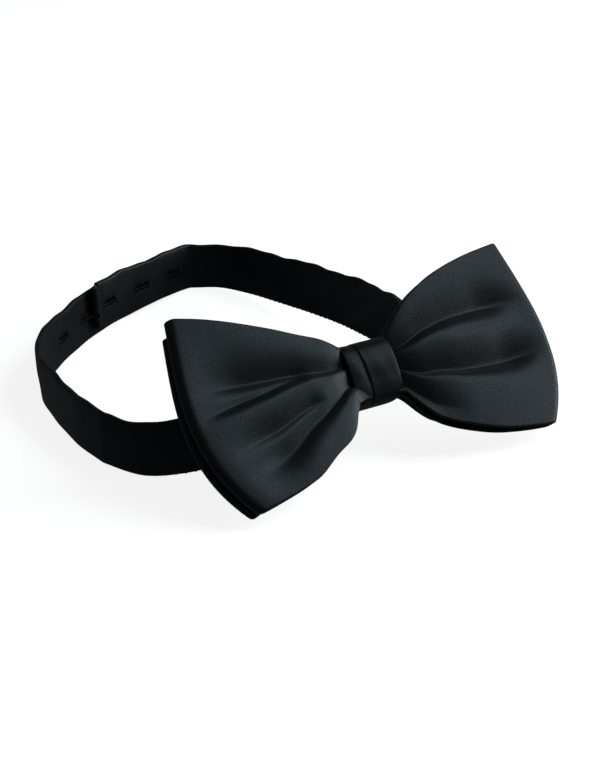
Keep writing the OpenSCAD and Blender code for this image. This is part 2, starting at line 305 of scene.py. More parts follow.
def satin_material(name, colour, grain_contrast=0.35, gloss=0.30):
    """Black satin: a grainy crepe back to the sheen, fine floats along the cloth and slubs."""
    material, tree, shader, place = new_material(
        name, Specular_IOR_Level=gloss, Specular_Tint=SATIN_TINT, Sheen_Weight=0.06,
        Sheen_Roughness=0.45, Sheen_Tint=(0.62, 0.72, 0.8, 1))
    grain = noise(tree, place, "Object", 2200, 3)
    cloud = noise(tree, place, "Object", 60, 2)
    floats = noise(tree, place, "UV", 700, 2, stretch=(0.25, 4.0, 1.0))
    tone(tree, grain, shader,
         scaled(colour, 1 - grain_contrast), scaled(colour, 1 + grain_contrast))

    rough = tree.nodes.new("ShaderNodeMath")
    rough.operation = "ADD"
    for slot, (source, low, high) in enumerate(((grain, 0.35, 0.53), (cloud, -0.02, 0.03))):
        part = tree.nodes.new("ShaderNodeMapRange")
        ends = {"From Min": 0.3, "From Max": 0.7, "To Min": low, "To Max": high}
        for field, value in ends.items():
            part.inputs[field].default_value = value
        link(tree, source, "Fac", part, "Value")
        link(tree, part, "Result", rough, slot)
    link(tree, rough, "Value", shader, "Roughness")

    crepe = bump(tree, grain, shader, 0.5, 0.00011)
    bump(tree, floats, shader, 0.25, 0.0001, under=crepe)
    return material


def thread_material(name, colour):
    """Polyester sewing thread: a twist of fine plies."""
    material, tree, shader, place = new_material(
        name, Roughness=0.5, Specular_IOR_Level=0.22, Specular_Tint=SATIN_TINT)
    plies = noise(tree, place, "Object", 5200, 2)
    tone(tree, plies, shader, scaled(colour, 0.6), scaled(colour, 1.8))
    bump(tree, plies, shader, 0.5, 0.00008)
    return material


def felt_material(name, colour):
    """Needled interlining: short matted fibres with darker pits."""
    material, tree, shader, place = new_material(
        name, Roughness=0.95, Specular_IOR_Level=0.1, Sheen_Weight=0.2)
    fibres = noise(tree, place, "Object", 1500, 5)
    tone(tree, fibres, shader, scaled(colour, 0.7), scaled(colour, 1.15))
    bump(tree, fibres, shader, 0.7, 0.00025)
    return material


def plated_material(name, colour):
    """Nickel plating with fine drawing marks and dulled patches."""
    material, tree, shader, place = new_material(name, Base_Color=(*colour, 1), Metallic=1.0)
    marks = noise(tree, place, "Object", 900, 3, stretch=(4.0, 4.0, 0.4))
    dull = noise(tree, place, "Object", 260, 2)
    rough = tree.nodes.new("ShaderNodeMapRange")
    rough.inputs["To Min"].default_value = 0.18
    rough.inputs["To Max"].default_value = 0.42
    link(tree, dull, "Fac", rough, "Value")
    link(tree, rough, "Result", shader, "Roughness")
    bump(tree, marks, shader, 0.25, 0.00005)
    return material


def floor_material(name):
    material, tree, shader, place = new_material(
        name, Roughness=0.9, Specular_IOR_Level=0.1, Emission_Color=(1, 1, 1, 1),
        Emission_Strength=0.85)
    paper = noise(tree, place, "Object", 40, 3)
    tone(tree, paper, shader, [0.70] * 3, [0.73] * 3)
    return material


def material_of(key):
    """The finish of that name, made the first time it is asked for."""
    if key in bpy.data.materials:
        return bpy.data.materials[key]
    colours = bpy.context.scene.tie_finish
    makers = {
        "wing_satin": lambda: satin_material(key, colours.satin),
        "knot_satin": lambda: satin_material(key, colours.satin, 0.3, 0.21),
        "band_satin": lambda: satin_material(key, colours.satin, 0.3, 0.30),
        "sewing_thread": lambda: thread_material(key, colours.thread),
        "felt_interlining": lambda: felt_material(key, colours.interlining),
        "nickel_plating": lambda: plated_material(key, colours.plating),
        "studio_floor": lambda: floor_material(key),
    }
    return makers[key]()


def dress(obj, key):
    """Gives a piece its one finish."""
    obj.data.materials.clear()
    obj.data.materials.append(material_of(key))
    return obj


# ---- the wings ----

# In mm: half the wrap's width, half the bow's width, and how the outer fold falls back from it.
WRAP_HALF = 8.25
BOW_HALF = 62.5
FOLD_SAG = 7.2
FOLD_SKEW = 2.9
# Half the wings' height inside the wrap, against their height at its edge.
WAIST_SQUEEZE = 0.86
# Least room between a loop's face and its rear, in mm.
LOOP_ROOM = 1.9
# The share of a loop's height that its felt is cut to.
FELT_TRIM = 0.93

# Upper and lower edges of the two wings: share of the way out, height from the waist in mm.
WING_EDGES = {
    "left": {
        "top": [(0, 8.9), (0.115, 12.1), (0.255, 14.7), (0.445, 18.7), (0.825, 25.7), (1, 28.0)],
        "bottom": [(0, -9.2), (0.06, -12.3), (0.13, -16.8), (0.2, -19.3), (0.345, -22.3),
                   (0.56, -27.4), (0.9, -30.9), (1, -31.7)]},
    "right": {
        "top": [(0, 9.1), (0.095, 12.9), (0.265, 18.9), (0.465, 23.1), (0.765, 26.5), (1, 28.0)],
        "bottom": [(0, -9.2), (0.05, -13), (0.09, -16), (0.17, -20.4), (0.395, -25.8),
                   (0.63, -29.3), (0.92, -31.4), (1, -31.7)]},
}

# Pleats of each front wing: the floor's route as (share out, share up), then at both ends the
# upper side's width, the depth and the lower side's share of that width. Sizes are in mm.
PLEATS = {
    "left": [
        ([(0, 0.26), (0.3, 0.34), (0.66, 0.30), (0.97, 0.24)], (3.4, 8.5), (1.2, 3.8), (0.14, 0.5)),
        ([(0.24, 0.27), (0.4, 0.22), (0.62, 0.12), (1, -0.04)], (2.0, 4.0), (1.6, 2.2), (0.3, 0.4)),
        ([(0.2, -0.14), (0.36, -0.22), (0.6, -0.32), (0.9, -0.42)],
         (2.2, 4.5), (0.8, 1.8), (0.4, 0.5)),
        ([(0, -0.32), (0.12, -0.30), (0.28, -0.42), (0.6, -0.62), (0.9, -0.74)],
         (3.8, 7.0), (1.6, 3.6), (0.3, 0.9)),
    ],
    "right": [
        ([(0, 0.38), (0.22, 0.44), (0.57, 0.42), (0.98, 0.36)],
         (3.4, 7.8), (1.4, 4.4), (0.14, 0.7)),
        ([(0.35, 0.24), (0.5, 0.21), (0.8, 0.20)], (1.4, 2.0), (0.3, 0.3), (0.6, 0.6)),
        ([(0, -0.22), (0.2, -0.20), (0.42, -0.25), (0.7, -0.24), (1, -0.20)],
         (3.6, 8.6), (1.4, 5.0), (0.12, 0.5)),
        ([(0, -0.78), (0.12, -0.78), (0.35, -0.80)], (4.4, 7.0), (1.6, 2.2), (0.5, 0.8)),
    ],
}

LAYERS = {
    # In mm: depth of the face and of the rear at the waist, depth and radius of the fold, how far
    # the face swells, and how far the loop's top, bottom and middle are drawn in.
    "front": {"waist": (-4.1, 0.1), "fold": -4.3, "radius": 2.2,
              "swell": {"left": 1.8, "right": 2.0}, "drop": (0.0, 0.0, 0.0)},
    "back": {"waist": (0.3, 2.5), "fold": 0.7, "radius": 1.4,
             "swell": {"left": 0.2, "right": 0.2}, "drop": (3.2, 1.4, 2.6)},
}


def reach(v):
    """How far out a wing goes at a share v of its height, in mm from the middle of the bow."""
    return BOW_HALF - FOLD_SAG * v * v + FOLD_SKEW * v ** 3


def pleat_field(side, out, up, half_height, gain):
    """Depth in mm that the pleats push the front face back at each place on a wing."""
    depth = np.zeros_like(out)
    for route, width, push, lower in PLEATS[side]:
        start, end = route[0][0], route[-1][0]
        along = np.clip((out - start) / (end - start), 0, 1)
        line = curve_through(route, out)
        w = width[0] + (width[1] - width[0]) * along
        p = push[0] + (push[1] - push[0]) * along ** 0.5
        away = (up - line) * half_height / w
        away = np.where(away > 0, away, away / (lower[0] + (lower[1] - lower[0]) * along))
        rise = 1.0 if start == 0 else smoothstep((out - start) / 0.12)
        fade = smoothstep((end + 0.06 - out) / 0.38)
        depth += p * np.exp(-(away * away + 0.03) ** 0.62) * rise * fade
    return depth * gain


def wing_grid(side, layer, inset, out_steps=46, trim=1.0):
    """Points of one loop: out along the face, round the fold and back along the rear."""
    shape = LAYERS[layer]
    edges = WING_EDGES[side]
    sign = -1 if side == "left" else 1
    gain = bpy.context.scene.tie_bow.pleat_gain if layer == "front" else 0.0
    up = np.linspace(-trim, trim, 104 if layer == "front" and not inset else 56)
    near = np.linspace(0.6, WRAP_HALF, 6)[:-1]
    ways = np.linspace(0, 1, out_steps) ** 1.12
    radius = shape["radius"]

    def heights(out, v):
        top = curve_through(edges["top"], out)
        bottom = curve_through(edges["bottom"], out)
        drop_top, drop_bottom, tuck = shape["drop"]
        top = top - drop_top * out
        bottom = bottom + tuck * 4 * out * (1 - out) + (drop_bottom * out if side == "right" else 0)
        half = (top - bottom) / 2
        return (top + bottom) / 2 + v * half, half

    def face_depth(out, v, half):
        at_waist, at_fold = shape["waist"][0], shape["fold"] - radius
        base = at_fold + (at_waist + 0.5 * v ** 4 - at_fold) * (1 - out) ** 1.8
        bulge = shape["swell"][side] * np.sin(np.pi * np.clip(out, 0, 1) ** 0.6)
        bulge = bulge * (1 - 0.15 * v * v)
        return base - bulge + pleat_field(side, out, v, half, gain)

    def rear_depth(out):
        at_waist, at_fold = shape["waist"][1], shape["fold"] + radius
        return at_fold + (at_waist - at_fold) * (1 - out) ** 1.8

    rings = []

    def add_ring(x, depth, z):
        rings.append(np.stack([np.broadcast_to(x, up.shape), depth, z], 1))

    def inside_wrap(x):
        """Share of the way to the wrap's edge, place out, heights and their half."""
        share = (x / WRAP_HALF) ** 2
        out = np.zeros_like(up)
        z, half = heights(out, up)
        return share, out, z * (WAIST_SQUEEZE + (1 - WAIST_SQUEEZE) * share), half

    def along_wing(w):
        out = np.full_like(up, w)
        z, half = heights(out, up)
        return WRAP_HALF + (reach(up) - radius - WRAP_HALF) * out, out, z, half

    for x in near:
        share, out, z, half = inside_wrap(x)
        face = face_depth(out, up, half)
        face = face * (0.9 + 0.1 * share) * (1 - 0.25 * up * up * (1 - share))
        add_ring(x, face + inset, z)
    for w in ways:
        x, out, z, half = along_wing(w)
        add_ring(x, face_depth(out, up, half) + inset, z)
    z, half = heights(np.ones_like(up), up)
    tilt = face_depth(np.ones_like(up), up, half) - (shape["fold"] - radius)
    for turn in np.radians(np.arange(-67.5, 68, 22.5)):
        x = reach(up) - radius + (radius - inset) * np.cos(turn)
        add_ring(x, shape["fold"] + (radius - inset) * np.sin(turn)
                 + tilt * (1 - np.sin(turn)) / 2, z)
    for w in ways[::-2]:
        x, out, z, half = along_wing(w)
        rear = np.maximum(rear_depth(out), face_depth(out, up, half) + LOOP_ROOM)
        add_ring(x, rear - inset, z)
    for x in near[::-1]:
        _, out, z, _ = inside_wrap(x)
        add_ring(x, rear_depth(out) - inset, z)
    grid = np.array(rings)
    grid[..., 0] *= sign
    return grid


def wing_piece(name, side, layer, inset, thickness, trim=1.0):
    """One loop of a wing as a closed cloth, with its UV map in metres of cloth."""
    grid = wing_grid(side, layer, inset, trim=trim)
    rows, columns = grid.shape[:2]
    steps = np.linalg.norm(np.diff(grid, axis=0), axis=2)
    u = np.vstack([np.zeros(columns), np.cumsum(steps, axis=0)]) * MM
    v = grid[..., 2] * MM
    points = on_bow(grid[..., 0], grid[..., 1], grid[..., 2]).reshape(-1, 3)
    faces = grid_faces(rows, columns)
    if side == "right":
        faces = [f[::-1] for f in faces]
    obj = mesh_object(name, points, faces, np.stack([u, v], -1).reshape(-1, 2))
    flat_area = float(steps.sum(0).mean() * np.ptp(grid[..., 2], axis=1).mean()) * MM * MM
    give_thickness(obj, thickness)
    return obj, flat_area, float(steps.sum(0).max()) * MM


def bend_at_knot(obj):
    """Bakes the piece's place into its mesh."""
    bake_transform(obj)


class OBJECT_OT_tie_wings(bpy.types.Operator):
    """Makes the two loops of satin of each wing"""

    bl_idname = "object.tie_wings"
    bl_label = "Pleated Wings"

    def execute(self, context):
        sizes = context.scene.tie_bow
        for side in ("left", "right"):
            for layer in ("front", "back"):
                name = f"{side}_wing_{layer}_satin"
                obj, area, length = wing_piece(name, side, layer, 0.0, sizes.cloth)
                dress(obj, "wing_satin")
                nodes = [f"{side}_wing_{layer}"]
                if name == "left_wing_front_satin":
                    nodes.append("gathered_waist")
                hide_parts(*nodes)
                bend_at_knot(obj)
        return {"FINISHED"}


class OBJECT_OT_tie_interlining(bpy.types.Operator):
    """Makes the felt that keeps each loop in shape"""

    bl_idname = "object.tie_interlining"
    bl_label = "Wing Interlining"

    def execute(self, context):
        sizes = context.scene.tie_bow
        for side in ("left", "right"):
            for layer in ("front", "back"):
                thickness = sizes.interlining
                inset = (sizes.cloth - thickness) / 2 / MM
                name = f"{side}_wing_{layer}_interlining"
                obj, area, length = wing_piece(name, side, layer, inset, thickness, trim=FELT_TRIM)
                dress(obj, "felt_interlining")
                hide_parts(f"{side}_{layer}_stiffener")
                bend_at_knot(obj)
        return {"FINISHED"}


# ---- the knot ----

KNOT_FRONT = -4.6
KNOT_REAR = 6.3
KNOT_CLOTH = 1.0

EDGE_LIFT = -0.45  # how far the wrap's two edges draw in
WRAP_WAIST = 0.35  # how far the middle of its front is pulled narrower

# Crisp pleat of the wrap: place across at the top and at the bottom edge, height of the step.
WRAP_FOLDS = [(-3.0, -2.2, 0.7)]

# Depth behind the waist's middle and height, round the wrap: flat on the collar side, and with
# a soft bend across its front.
KNOT_SECTION = [
    (6.3, 0), (6.3, 4), (6.2, 8), (5.4, 9.4), (2, 9.7), (-1, 9.5), (-3, 8.7), (-4.6, 6.8),
    (-5.2, 4), (-5.25, 1.2), (-4.95, -1.2), (-4.4, -3.6), (-3.8, -6), (-2.6, -8.5),
    (-0.6, -9.6), (2, -9.7), (5.4, -9.4), (6.2, -8), (6.3, -4)]


def knot_outline(steps=96):
    """Angle, depth and height of points round the wrap."""
    section = np.array(KNOT_SECTION, float)
    n = len(section)
    places = np.linspace(0, n, steps, endpoint=False)
    i = np.floor(places).astype(int)
    t = (places - i)[:, None]
    p0, p1, p2, p3 = (section[(i + k) % n] for k in (-1, 0, 1, 2))
    points = spline_blend(p0, p1, p2, p3, t)
    middle = (KNOT_FRONT + KNOT_REAR) / 2
    return np.arctan2(points[:, 1], points[:, 0] - middle), points[:, 0], points[:, 1]


class OBJECT_OT_tie_knot(bpy.types.Operator):
    """Wraps the folded satin strip round the waist"""

    bl_idname = "object.tie_knot"
    bl_label = "Knot Wrap"

    def execute(self, context):
        across = np.linspace(-WRAP_HALF, WRAP_HALF, 56)
        rings, cloth_map = [], []
        for x in across:
            turn, depth, height = knot_outline()
            at_front = np.clip(-np.cos(turn), 0, 1) ** 0.5
            up_front = np.sin(turn)
            edge = (abs(x) / WRAP_HALF) ** 6
            lift = EDGE_LIFT * edge
            lift = lift + 0.06 * np.sin(x * 0.9 + up_front * 1.5) * at_front
            for top, bottom, step in WRAP_FOLDS:
                line = (top + bottom) / 2 + (top - bottom) / 2 * up_front
                beyond = x - line
                ramp = np.where(beyond < 0, np.exp(beyond / 2.4), 0)
                ramp = ramp * np.clip(-beyond / 0.25, 0, 1)
                lift = lift - step * 0.9 * ramp * at_front
            middle = (KNOT_FRONT + KNOT_REAR) / 2
            length = np.hypot(depth - middle, height)
            depth = depth + lift * (depth - middle) / length
            height = height + lift * height / length
            waist = WRAP_WAIST * np.cos(np.pi * x / (2 * WRAP_HALF))
            height = height - waist * np.tanh(height / 3) * at_front
            rings.append(np.stack([np.full_like(depth, x), depth, height], 1))
            run = np.concatenate([[0], np.cumsum(np.hypot(np.diff(depth), np.diff(height)))])
            cloth_map.append(np.stack([run * MM, np.full_like(run, x * MM)], 1))
        grid = np.array(rings)
        faces = grid_faces(len(across), grid.shape[1], closed=True)
        points = on_bow(grid[..., 0], grid[..., 1], grid[..., 2]).reshape(-1, 3)
        obj = mesh_object("satin_knot_wrap", points, faces, np.array(cloth_map).reshape(-1, 2))
        face_outwards(obj, WAIST)
        give_thickness(obj, KNOT_CLOTH * MM)
        dress(obj, "knot_satin")
        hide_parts("knot_wrap")
        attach(obj, "knot")
        dress(frame["nodes"]["gathering_thread"], "sewing_thread")
        return {"FINISHED"}


def face_outwards(obj, centre):
    """Turns a ring's faces round if its first face looks towards the centre."""
    mesh = obj.data
    mesh.update()
    votes = sum(
        1 if (np.array(f.center) - centre) @ np.array(f.normal) > 0 else -1 for f in mesh.polygons)
    if votes < 0:
        mesh.flip_normals()


# ---- the neckband ----

# Lower edges of the straps: across, back, height above the table in mm, and outward lean in
# degrees.
LEFT_ROUTE = [
    (-1, 22.3, 16.8, -43), (-9, 22.3, 16.8, -43), (-20, 24, 14, -40), (-32, 28, 9, -32),
    (-44, 33, 4.5, -20), (-54, 38.5, 1.5, -10), (-64, 46, 0.3, -3), (-69, 58, 0.1, 0),
    (-69.8, 61, 0.1, 0), (-70.8, 75, 0.1, 0), (-69, 94, 0.1, 2), (-65.5, 111, 0.1, 5),
    (-55.5, 126, 0.1, 6), (-39, 141, 0.1, 4), (-25, 150.5, 0.1, 3), (-11, 157.5, 0.1, 3),
    (5, 164.5, 0.1, 3)]
RIGHT_ROUTE = [
    (1, 22.3, 16.8, -43), (9, 22.3, 16.8, -43), (17, 24, 16, -42), (24, 30, 15, -34),
    (28.5, 40, 13.8, -18), (30.7, 52, 13.2, 4), (31.8, 64, 13, 22), (32.6, 76, 12, 30),
    (34.2, 90, 10, 30), (34.7, 108, 7.4, 26), (34.5, 130, 4, 18), (33, 149, 1.5, 9),
    (28, 161, 0.8, 4), (20, 165.6, 0.9, 3), (17.2, 166.1, 1, 3), (7, 162.8, 1.4, 3),
    (-3, 158.4, 1.8, 3), (-15, 153.2, 2.3, 3), (-28.8, 145.4, 3, 3)]
# Middles of the slits, counted in route points.
LEFT_SLITS = [12.49, 13.34, 14.68]
RIGHT_SLITS = [14.71, 16.28, 17.52]

# How much narrower and thinner than the strap its felt is, in mm.
FELT_MARGIN, FELT_THINNER = 1.4, 1.0


class Route:
    """A strap's lower edge as a smooth curve, read by distance along it in mm."""

    def __init__(self, points, side):
        self.side = side
        table = np.array(points, float)
        n = len(table)
        knots = np.linspace(0, n - 1, (n - 1) * 40 + 1)
        i = np.minimum(np.floor(knots).astype(int), n - 2)
        t = (knots - i)[:, None]
        p0, p1 = table[np.maximum(i - 1, 0)], table[i]
        p2, p3 = table[i + 1], table[np.minimum(i + 2, n - 1)]
        self.knots = knots
        self.samples = spline_blend(p0, p1, p2, p3, t)
        steps = np.linalg.norm(np.diff(self.samples[:, :3], axis=0), axis=1)
        self.distance = np.concatenate([[0], np.cumsum(steps)])
        self.length = self.distance[-1]

    def at_knot(self, s):
        """Distance in mm of a place counted in route points."""
        return float(np.interp(s, self.knots, self.distance))

    def frame(self, d):
        """Foot, outward, up and along vectors at distance d, in the row frame and mm."""
        read = [np.interp(d, self.distance, self.samples[:, k]) for k in range(4)]
        foot = np.stack(read[:3], -1)
        ahead = [np.interp(np.minimum(d + 0.6, self.length), self.distance, self.samples[:, k])
                 for k in range(2)]
        behind = [np.interp(np.maximum(d - 0.6, 0), self.distance, self.samples[:, k])
                  for k in range(2)]
        heading = np.arctan2(ahead[1] - behind[1], ahead[0] - behind[0])
        lean = np.radians(read[3])
        zero = np.zeros_like(heading)
        flat = np.stack([self.side * np.sin(heading), -self.side * np.cos(heading), zero], -1)
        rise = np.stack([zero, zero, np.ones_like(heading)], -1)
        c, s = np.cos(lean)[..., None], np.sin(lean)[..., None]
        along = np.stack([np.cos(heading), np.sin(heading), zero], -1)
        return foot, c * flat - s * rise, c * rise + s * flat, along


def band_profile(width, thickness, crown):
    """(outward, up) round a strap from the seam under its lower edge and back to it, in mm."""
    half = thickness / 2
    profile = [(0.06, 0.22), (0.16, 0.02), (half * 0.55, -0.02), (half * 0.9, 0.22), (half, 0.7)]
    middle = [width * k / 12 for k in range(1, 12)]
    outer = profile + [(half + crown * math.sin(math.pi * h / width), h) for h in middle]
    outer += [(half, width - 0.7), (half * 0.9, width - 0.22), (half * 0.5, width)]
    inner = [(-o, h) for o, h in outer[::-1]]
    return np.array(outer + inner)


def band_waviness(d, h, seed):
    """Slow dents and swellings of a soft strap, in mm outwards."""
    return (0.16 * np.sin(d * 0.11 + seed) * np.sin(h * 0.35 + seed * 2 + d * 0.05)
            + 0.07 * np.sin(d * 0.37 + h * 0.5 + seed * 3))


def make_band(name, route, slits, width, thickness, crown, seed, lower=0.0, slit_room=0.0):
    """A strap swept along its route, with its adjusting slits cut right through."""
    sizes = bpy.context.scene.tie_band
    slit_half = sizes.slit_length / MM / 2 + slit_room
    gap_half = sizes.slit_gap / MM / 2 + slit_room
    places = list(np.arange(0, route.length, 1.3)) + [route.length]
    centres = [route.at_knot(s) for s in slits]
    for c in centres:
        places = [p for p in places if abs(p - c) > slit_half + 0.7]
        places += list(np.linspace(c - slit_half, c + slit_half, 9))
        places += [c - slit_half - 0.35, c + slit_half + 0.35]
    places = np.array(sorted(places))
    profile = band_profile(width, thickness, crown)
    mid = width / 2
    # Bring one pair of profile points on each face to the slit's edges.
    for sign in (1, -1):
        on_face = [k for k in range(len(profile)) if profile[k][0] * sign > thickness * 0.4]
        below = max((k for k in on_face if profile[k][1] < mid - 0.1), key=lambda k: profile[k][1])
        above = min((k for k in on_face if profile[k][1] > mid + 0.1), key=lambda k: profile[k][1])
        at_middle = [k for k in on_face if abs(profile[k][1] - mid) < 0.1]
        profile[below][1] = mid - gap_half
        profile[above][1] = mid + gap_half
        profile[at_middle[0]][1] = mid
    foot, outward, rise, _ = route.frame(places)
    wave = band_waviness(places[:, None], profile[None, :, 1], seed)
    taper = smoothstep(places / 6)[:, None] * smoothstep((route.length - places) / 6)[:, None]
    edge_wave = (0.3 * np.sin(places * 0.21 + seed) + 0.16 * np.sin(places * 0.53 + 2 * seed))
    edge_wave = edge_wave[:, None] * (profile[None, :, 1] / width) ** 2
    o = profile[None, :, 0] + wave * taper
    h = profile[None, :, 1] + edge_wave * taper + lower
    points = foot[:, None] + o[..., None] * outward[:, None] + h[..., None] * rise[:, None]
    rows, columns = points.shape[:2]

    def in_slit(i, j):
        low, high = sorted((profile[j][1], profile[(j + 1) % columns][1]))
        inside_height = low > mid - gap_half - 0.01 and high < mid + gap_half + 0.01
        inside_length = any(
            c - slit_half - 0.01 < places[i] and places[i + 1] < c + slit_half + 0.01
            for c in centres)
        return inside_height and inside_length

    faces = grid_faces(rows, columns, closed=True, keep=lambda i, j: not in_slit(i, j))
    first = list(range(columns))
    last = [(rows - 1) * columns + j for j in range(columns)]
    faces += cap_faces(first, columns) + cap_faces(last, columns)
    faces += slit_walls(profile, places, centres, slit_half, gap_half, mid, columns)
    along = np.repeat(places[:, None], columns, 1)
    around = np.repeat(profile[None, :, 1], rows, 0)
    uvs = np.stack([along * MM, around * MM], -1).reshape(-1, 2)
    obj = mesh_object(name, ROUTE_CORNER + points.reshape(-1, 3) * MM, faces, uvs)
    make_consistent(obj)
    return obj


def cap_faces(ring, columns):
    """Quads that close a strap's end, from the seam up to the upper edge."""
    half = columns // 2
    return [(ring[k], ring[k + 1], ring[columns - 2 - k], ring[columns - 1 - k])
            for k in range(half - 1)]


def slit_walls(profile, places, centres, slit_half, gap_half, mid, columns):
    """Quads through the strap round each slit, joining its two faces."""
    def column(sign, height):
        return min((k for k in range(columns) if profile[k][0] * sign > 0),
                   key=lambda k: abs(profile[k][1] - height))
    walls = []
    outer = [column(1, mid - gap_half), column(1, mid), column(1, mid + gap_half)]
    inner = [column(-1, mid - gap_half), column(-1, mid), column(-1, mid + gap_half)]
    for c in centres:
        span = [i for i, p in enumerate(places) if abs(p - c) < slit_half + 0.01]
        for a, b in ((outer[0], inner[0]), (outer[2], inner[2])):
            for i, k in zip(span[:-1], span[1:]):
                walls.append((i * columns + a, k * columns + a, k * columns + b, i * columns + b))
        for i in (span[0], span[-1]):
            for k in range(2):
                walls.append((i * columns + outer[k], i * columns + outer[k + 1],
                              i * columns + inner[k + 1], i * columns + inner[k]))
    return walls


def make_consistent(obj):
    """Makes every face of a closed piece look outwards."""
    work = bmesh.new()
    work.from_mesh(obj.data)
    bmesh.ops.recalc_face_normals(work, faces=work.faces)
    work.to_mesh(obj.data)
    work.free()


def band_routes():
    return {"left": Route(LEFT_ROUTE, -1), "right": Route(RIGHT_ROUTE, 1)}


def bend_strap(obj):
    """Bakes the strap's place into its mesh."""
    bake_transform(obj)


class OBJECT_OT_tie_straps(bpy.types.Operator):
    """Sweeps the two satin straps and the felt inside them"""

    bl_idname = "object.tie_straps"
    bl_label = "Neckband Straps"

    def execute(self, context):
        sizes = context.scene.tie_band
        width, thickness = sizes.width / MM, sizes.thickness / MM
        routes = band_routes()
        stood_for = {
            "left": (["left_strap", "slotted_strap_end"],
                     ["left_strap_stiffener", "slotted_end_stiffener"], LEFT_SLITS),
            "right": (["right_strap", "hook_strap_end"],
                      ["right_strap_stiffener", "hook_end_stiffener"], RIGHT_SLITS),
        }
        for side, route in routes.items():
            satin_nodes, felt_nodes, slits = stood_for[side]
            seed = 0.7 if side == "left" else 2.1
            strap = make_band(f"{side}_satin_strap", route, slits, width, thickness, 0.12, seed)
            round_off(strap)
            dress(strap, "band_satin")
            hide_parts(*satin_nodes)
            bend_strap(strap)
            felt = make_band(f"{side}_strap_interlining", route, slits, width - FELT_MARGIN,
                             thickness - FELT_THINNER, 0.08, seed, lower=FELT_MARGIN / 2,
                             slit_room=0.35)
            dress(felt, "felt_interlining")
            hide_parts(*felt_nodes)
            bend_strap(felt)
        return {"FINISHED"}


# ---- stitching ----

SLIT_BITE = 0.62  # how far a slit's stitches reach into the cloth, in mm
UNEVENNESS = 0.08
SEAM_THREAD = 0.24
SEAM_START, SEAM_END = 26, 2  # the seam's stitches begin and stop this far from the strap's ends


def stitch_tree(kind):
    """A node tree that sets a sewn stitch on every point of a guide: a ring or a bar."""
    tree = bpy.data.node_groups.new(f"{kind}_stitches", "GeometryNodeTree")
    face = tree.interface
    face.new_socket("Geometry", in_out="INPUT", socket_type="NodeSocketGeometry")
    face.new_socket("Geometry", in_out="OUTPUT", socket_type="NodeSocketGeometry")
    for field, value in (("Length", 1.5), ("Height", 1.0), ("Thread", 0.3), ("Unevenness", 0.1)):
        socket = face.new_socket(field, in_out="INPUT", socket_type="NodeSocketFloat")
        socket.default_value = value
    face.new_socket("Seed", in_out="INPUT", socket_type="NodeSocketInt")
    face.new_socket("Finish", in_out="INPUT", socket_type="NodeSocketMaterial")
    add = tree.nodes.new
    given, made = add("NodeGroupInput"), add("NodeGroupOutput")

    def sum_of(operation, first, second):
        """A sum of numbers and of the group's own inputs, which are given by name."""
        node = add("ShaderNodeMath")
        node.operation = operation
        for slot, value in enumerate((first, second)):
            if isinstance(value, str):
                link(tree, given, value, node, slot)
            else:
                node.inputs[slot].default_value = value
        return node

    if kind == "ring":
        path = add("GeometryNodeCurvePrimitiveQuadrilateral")
        link(tree, given, "Length", path, "Width")
        link(tree, given, "Height", path, "Height")
        bent = add("GeometryNodeFilletCurve")
        bent.mode = "POLY"
        bent.inputs["Count"].default_value = 3
        link(tree, given, "Thread", bent, "Radius")
        link(tree, path, "Curve", bent, "Curve")
    else:
        bent = add("GeometryNodeCurveQuadraticBezier")
        bent.inputs["Resolution"].default_value = 6
        for socket, share in (("Start", -0.5), ("Middle", 0), ("End", 0.5)):
            corner = add("ShaderNodeCombineXYZ")
            if share:
                link(tree, sum_of("MULTIPLY", "Length", share), "Value", corner, "X")
            else:
                link(tree, given, "Height", corner, "Z")
            link(tree, corner, "Vector", bent, socket)
    profile = add("GeometryNodeCurvePrimitiveCircle")
    profile.inputs["Resolution"].default_value = 7
    link(tree, sum_of("MULTIPLY", "Thread", 0.5), "Value", profile, "Radius")
    body = add("GeometryNodeCurveToMesh")
    body.inputs["Fill Caps"].default_value = kind == "bar"
    link(tree, bent, "Curve", body, "Curve")
    link(tree, profile, "Curve", body, "Profile Curve")

    turn = add("GeometryNodeInputNamedAttribute")
    turn.data_type = "FLOAT_VECTOR"
    turn.inputs["Name"].default_value = "turn"
    euler = add("FunctionNodeEulerToRotation")
    link(tree, turn, "Attribute", euler, "Euler")
    vary = add("FunctionNodeRandomValue")
    vary.data_type = "FLOAT_VECTOR"
    link(tree, sum_of("SUBTRACT", 1.0, "Unevenness"), "Value", vary, "Min")
    link(tree, sum_of("ADD", 1.0, "Unevenness"), "Value", vary, "Max")
    link(tree, given, "Seed", vary, "Seed")
    place = add("GeometryNodeInstanceOnPoints")
    link(tree, given, "Geometry", place, "Points")
    link(tree, body, "Mesh", place, "Instance")
    link(tree, euler, "Rotation", place, "Rotation")
    link(tree, vary, "Value", place, "Scale")
    real = add("GeometryNodeRealizeInstances")
    link(tree, place, "Instances", real, "Geometry")
    finish = add("GeometryNodeSetMaterial")
    link(tree, real, "Geometry", finish, "Geometry")
    link(tree, given, "Finish", finish, "Material")
    link(tree, finish, "Geometry", made, "Geometry")
    return tree


